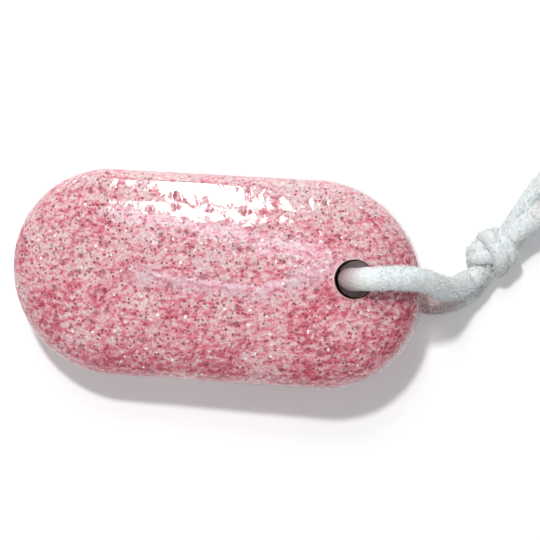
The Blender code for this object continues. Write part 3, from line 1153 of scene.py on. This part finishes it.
@dataclass
class CottonCord:
    """One length of soft braided cord, through the hole, knotted and looped."""

    diameter: float = 5.8
    knot_radius: float = 2.1
    knot_taper: float = 7.0
    step: float = 0.36
    sides: int = 44
    strands_round: int = 7
    # The braid repeats every 2.5 mm along the cord.
    stitch: float = 2.5
    relief: float = 0.16
    floor_gap: float = 0.02
    least_height: float = 0.5
    most_spread: float = 1.22
    # Each stretch in the hole and under the stone where the cord is painted in shade: its middle, its reach
    # and its strength.
    under_stone_shade_places: tuple[tuple[float, float, float, float, float], ...] = (
        (30.5, 1.6, 24.5, 8.0, 0.95),
        (33.5, 1.6, 5.0, 8.0, 0.9),
        (51.0, -3.5, 2.9, 12.0, 0.9),
    )
    knot: OverhandKnot = field(default_factory=OverhandKnot)

    def route(self) -> tuple[list[Vector], list[Vector]]:
        """Join the stretches of the route into one line.

        Returns:
            The whole middle line, evenly spaced, and the part of it that lies in the knot.
        """
        through = [Vector(place) for place in ROUTE_THROUGH]
        loop = [Vector(place) for place in ROUTE_LOOP]
        over = [Vector(END_ABOVE)] + through[:OVER_COUNT][::-1]
        under = through[OVER_COUNT + 1 :][::-1] + [Vector(END_BELOW)]
        tight = self.knot.tie()
        upper, lower = tight[Strand.UPPER][::3], tight[Strand.LOWER][::3][::-1]
        whole = over + upper + loop[::-1] + lower + under
        return smooth_route(whole, self.step), upper + lower

    def radius(self, place: Vector, in_knot: KDTree) -> tuple[float, float]:
        """Half-width and half-height of the cord at a place on its middle line.

        Args:
            place: The place.
            in_knot: The middle lines inside the knot.

        Returns:
            The half-width across and the half-height, which is less where the cord is squashed.
        """
        free = self.diameter / 2
        away = in_knot.find(place)[2]
        share = min(1.0, away / self.knot_taper)
        share = share * share * (3.0 - 2.0 * share)
        loose = self.knot_radius + (free - self.knot_radius) * share
        high = min(loose, place.z - self.floor_gap)
        wide = min(loose * self.most_spread, loose * loose / max(high, self.least_height))
        return wide, high

    def build(self) -> tuple[bpy.types.Object, list[Vector]]:
        """Model the cord.

        Returns:
            The cord's object, which replaces its plain solids, and its middle line.
        """
        line, knotted = self.route()
        in_knot = KDTree(len(knotted))
        for index, place in enumerate(knotted):
            in_knot.insert(place, index)
        in_knot.balance()
        rings = len(line)
        bm = bmesh.new()
        bmesh.ops.create_grid(bm, x_segments=self.sides, y_segments=rings - 1, size=0.5)
        groove = bm.verts.layers.float.new("groove")
        dust = bm.verts.layers.float.new("dust")
        side = Vector((0.0, 1.0, 0.0))
        frames = []
        for index, place in enumerate(line):
            ahead, behind = line[min(index + 1, rings - 1)], line[max(index - 1, 0)]
            way = (ahead - behind).normalized()
            side = (side - way * side.dot(way)).normalized()
            wide, high = self.radius(place, in_knot)
            frames.append((place, way, side, wide, high))
        for vert in bm.verts:
            ring = round((vert.co.y + 0.5) * (rings - 1))
            turn = (vert.co.x + 0.5) * 2.0 * math.pi
            place, way, across, wide, high = frames[ring]
            out = across * math.cos(turn) + way.cross(across) * math.sin(turn)
            up = abs(out.z)
            reach = wide + (high - wide) * up
            # How deep in a groove each point lies, kept for painted shade.
            vert[groove], bulge = self.braid(ring * self.step, turn, out, place)
            vert.co = place + out * (reach + bulge)
            # Painted shade in the hole and under the stone.
            vert[dust] = self.under_stone_shade_share(vert.co)
        bmesh.ops.remove_doubles(bm, verts=bm.verts, dist=0.002)
        bmesh.ops.holes_fill(bm, edges=[e for e in bm.edges if e.is_boundary], sides=0)
        bmesh.ops.recalc_face_normals(bm, faces=bm.faces)
        cord = finish_piece("hanging_cord", bm, CottonYarn().material())
        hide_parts("cord_through_stone", "cord_knot", "cord_hanging_loop")
        return cord, line

    def under_stone_shade_share(self, place: Vector) -> float:
        """How much painted shade the cord takes at a place, in the hole and under the stone, from 0 to 1."""
        shares = [0.0]
        for x, y, z, reach, most in self.under_stone_shade_places:
            near = max(0.0, 1.0 - (place - Vector((x, y, z))).length / reach)
            shares.append(most * near * (2.0 - near))
        return max(shares)

    def braid(self, along: float, turn: float, out: Vector, place: Vector) -> tuple[float, float]:
        """Relief of the braid's strands and of the soft cord's own unevenness.

        Args:
            along: How far along the cord.
            turn: How far round the cord, in radians.
            out: The outward direction there.
            place: The place on the middle line.

        Returns:
            How deep in a groove it is, from 0 to 1, which the material paints as shade, and the height of
            the surface there.
        """
        wave = 2.0 * math.pi * along / self.stitch / 2
        one = math.sin(self.strands_round * turn + wave)
        other = math.sin(self.strands_round * turn - wave)
        crown = max(one * one, other * other)
        soft = noise.noise((place + out * 3.0) / 3.2) * 0.2 + noise.noise((place + out * 3.0) / 1.1) * 0.1
        return 0.5 * (1.0 - crown) ** 2, self.relief * (crown - 1.0) + soft - 0.08


@dataclass
class CottonFuzz:
    """Loose fibres that stand off the cord, as one mesh of thin pointed hairs."""

    cord: bpy.types.Object
    count: int = 32000
    thick: float = 0.08
    least: float = 0.4
    most: float = 1.0
    lean: float = 0.7
    lowest: float = 0.02
    hole: tuple[float, float] = (33.2, 1.6)
    hole_reach: float = 5.2
    seed: int = 7

    def hair(self) -> tuple[np.ndarray, np.ndarray]:
        """Model one hair: a straight three-sided cone along Z, one unit long and wide.

        Returns:
            Its points, and the point numbers of its four triangles.
        """
        bm = bmesh.new()
        bmesh.ops.create_cone(
            bm,
            cap_ends=True,
            segments=3,
            radius1=1.0,
            radius2=0.0,
            depth=1.0,
            matrix=Matrix.Translation((0.0, 0.0, 0.5)),
        )
        bmesh.ops.remove_doubles(bm, verts=bm.verts, dist=0.0001)
        bmesh.ops.recalc_face_normals(bm, faces=bm.faces)
        points = np.array([tuple(vert.co) for vert in bm.verts])
        faces = np.array([[vert.index for vert in face.verts] for face in bm.faces])
        bm.free()
        return points, faces

    def build(self) -> bpy.types.Object:
        """Model the fuzz.

        Returns:
            The fuzz's object.
        """
        draw = np.random.default_rng(self.seed)
        mesh = self.cord.data
        roots = np.empty(len(mesh.vertices) * 3)
        mesh.vertices.foreach_get("co", roots)
        ways = np.empty(len(mesh.vertices) * 3)
        mesh.vertex_normals.foreach_get("vector", ways)
        roots, ways = roots.reshape(-1, 3) / MM, ways.reshape(-1, 3)
        loose = np.flatnonzero(np.hypot(*(roots[:, :2] - self.hole).T) > self.hole_reach)
        chosen = loose[draw.integers(0, len(loose), self.count)]
        roots, ways = roots[chosen], ways[chosen]
        ways = ways + self.lean * draw.normal(size=ways.shape)
        ways /= np.linalg.norm(ways, axis=1)[:, None]
        side = np.cross(ways, np.array([0.31, 0.2, 0.93]))
        side /= np.linalg.norm(side, axis=1)[:, None]
        up = np.cross(ways, side)
        long = draw.uniform(self.least, self.most, self.count)[:, None]
        points, faces = self.hair()
        parts = [
            roots + side * x * self.thick + up * y * self.thick + ways * long * z
            for x, y, z in points
        ]
        places = np.stack(parts, axis=1).reshape(-1, 3)
        places[:, 2] = np.maximum(places[:, 2], self.lowest)
        shifts = np.arange(self.count)[:, None, None] * len(points)
        fuzz_mesh = bpy.data.meshes.new("cotton_fuzz")
        fuzz_mesh.from_pydata(places * MM, [], (faces[None] + shifts).reshape(-1, 3))
        fuzz_mesh.materials.append(self.cord.data.materials[0])
        fuzz = bpy.data.objects.new("cotton_fuzz", fuzz_mesh)
        bpy.context.scene.collection.objects.link(fuzz)
        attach(fuzz, BODY)
        return fuzz


@dataclass
class Studio:
    """White floor, pale surroundings, soft lamps and the camera of the reference view."""

    turn: float = math.radians(3.4)
    camera_place: tuple[float, float] = (12.87, 2.65)
    camera_height: float = 433.4
    view_width: float = 131.7
    view_distance: float = 420.0
    floor_reach: float = 2080.0
    floor_colour: str = "#F7F7F7"
    room: float = 0.26
    window_slant: float = math.radians(4.0)

    def build(self) -> None:
        """Set up the surroundings, the floor, the lamps and the camera."""
        self.surroundings()
        self.floor()
        # The two lamps above the window show only as reflections in the film.
        window = self.lamp("window", (-0.115, 0.6, 0.54), (-0.115, 0.0, 0.54), 0.056, 0.78, 2.5, "#FFFFFF")
        window.rotation_euler.rotate_axis("Z", -self.window_slant)
        top = self.lamp("window_top", (-0.152, 0.37, 0.78), (-0.02, 0.01, 0.02), 0.06, 0.2, 0.42, "#FFFFFF")
        sky = self.lamp("sky", (-0.145, 0.19, 0.8), (-0.02, 0.01, 0.02), 0.07, 0.34, 0.18, "#E4E8FF")
        for mirrored in (top, sky):
            mirrored.visible_diffuse = False
        # These three light the object softly and don't show as reflections.
        key = self.lamp("key", (-0.125, 0.34, 0.76), (0.02, 0.01, 0.02), 0.06, 0.06, 4.4, "#FFFFFF")
        far = self.lamp("far_ceiling", (-0.08, 0.46, 0.5), (0.0, 0.0, 0.0), 0.3, 0.3, 0.9, "#FFFFFF")
        near = self.lamp("near_ceiling", (-0.05, -0.42, 0.5), (0.0, 0.0, 0.0), 0.3, 0.3, 1.3, "#FFFFFF")
        for soft in (key, far, near):
            soft.visible_glossy = False
        self.camera()

    def floor(self) -> None:
        """Lay the plain white floor, the same all over."""
        bm = bmesh.new()
        bmesh.ops.create_grid(bm, x_segments=1, y_segments=1, size=self.floor_reach * MM)
        mesh = bpy.data.meshes.new("floor")
        bm.to_mesh(mesh)
        bm.free()
        floor = bpy.data.objects.new("floor", mesh)
        bpy.context.scene.collection.objects.link(floor)
        material, tree = new_material("white_paper")
        shader = add_node(
            tree, "BsdfPrincipled", {}, Base_Color=linear(self.floor_colour), Roughness=0.9
        )
        add_node(tree, "OutputMaterial", {}, Surface=shader.outputs[0])
        mesh.materials.append(material)

    def surroundings(self) -> None:
        """Make the surroundings: plain white to the camera, and dimmer as a light."""
        world = bpy.data.worlds.new("pale_room")
        world.use_nodes = True
        world.node_tree.nodes.clear()
        seen = add_node(world.node_tree, "LightPath", {}).outputs["Is Camera Ray"]
        bright = add_node(
            world.node_tree, "MapRange", {}, Value=seen, To_Min=self.room, To_Max=1.0
        ).outputs[0]
        sky = add_node(world.node_tree, "Background", {}, Color=linear("#FAFAFF"), Strength=bright)
        add_node(world.node_tree, "OutputWorld", {}, Surface=sky.outputs[0])
        bpy.context.scene.world = world
        bpy.context.scene.view_settings.view_transform = "Standard"

    def lamp(
        self,
        name: str,
        place: tuple[float, float, float],
        target: tuple[float, float, float],
        width: float,
        height: float,
        watts: float,
        colour: str,
    ) -> bpy.types.Object:
        """Hang one soft lamp.

        Args:
            name: The lamp's name.
            place: Where it hangs, in metres.
            target: What it points at, in metres.
            width: Its width in metres.
            height: Its height in metres.
            watts: Its power.
            colour: Its colour.

        Returns:
            The lamp.
        """
        data = bpy.data.lights.new(name, "AREA")
        data.shape = "RECTANGLE"
        data.size = width
        data.size_y = height
        data.energy = watts
        data.color = linear(colour)[:3]
        lamp = bpy.data.objects.new(name, data)
        lamp.location = place
        lamp.rotation_euler = (Vector(target) - Vector(place)).to_track_quat("-Z", "Y").to_euler()
        bpy.context.scene.collection.objects.link(lamp)
        return lamp

    def camera(self) -> None:
        """Set the camera straight above the stone, turned as in the reference view."""
        data = bpy.data.cameras.new("camera")
        data.angle = 2.0 * math.atan(self.view_width / 2 / self.view_distance)
        data.clip_start = 0.01
        camera = bpy.data.objects.new("camera", data)
        camera.location = Vector((*self.camera_place, self.camera_height)) * MM
        camera.rotation_euler = (0.0, 0.0, self.turn)
        bpy.context.scene.collection.objects.link(camera)
        bpy.context.scene.camera = camera


def main() -> None:
    """Build the studio and every piece."""
    logging.basicConfig(level=logging.INFO, format="%(message)s")
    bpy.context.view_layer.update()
    Studio().build()
    LOG.info("studio: floor, lamps and camera")

    cord, line = CottonCord().build()
    length = sum((b - a).length for a, b in zip(line, line[1:]))
    LOG.info("%s: %.0f mm long, %d faces", cord.name, length, len(cord.data.polygons))
    fuzz = CottonFuzz(cord).build()
    LOG.info("%s: %d faces", fuzz.name, len(fuzz.data.polygons))

    pillow = Pillow()
    pores = Pores()
    stone = PumiceStone(pillow, pores).build()
    LOG.info("%s: %d faces, %d pores", stone.name, len(stone.data.polygons), len(pores.places))
    film = ShrinkFilm(pillow, pores).build()
    LOG.info("%s: %d faces", film.name, len(film.data.polygons))


if __name__ == "__main__":
    main()
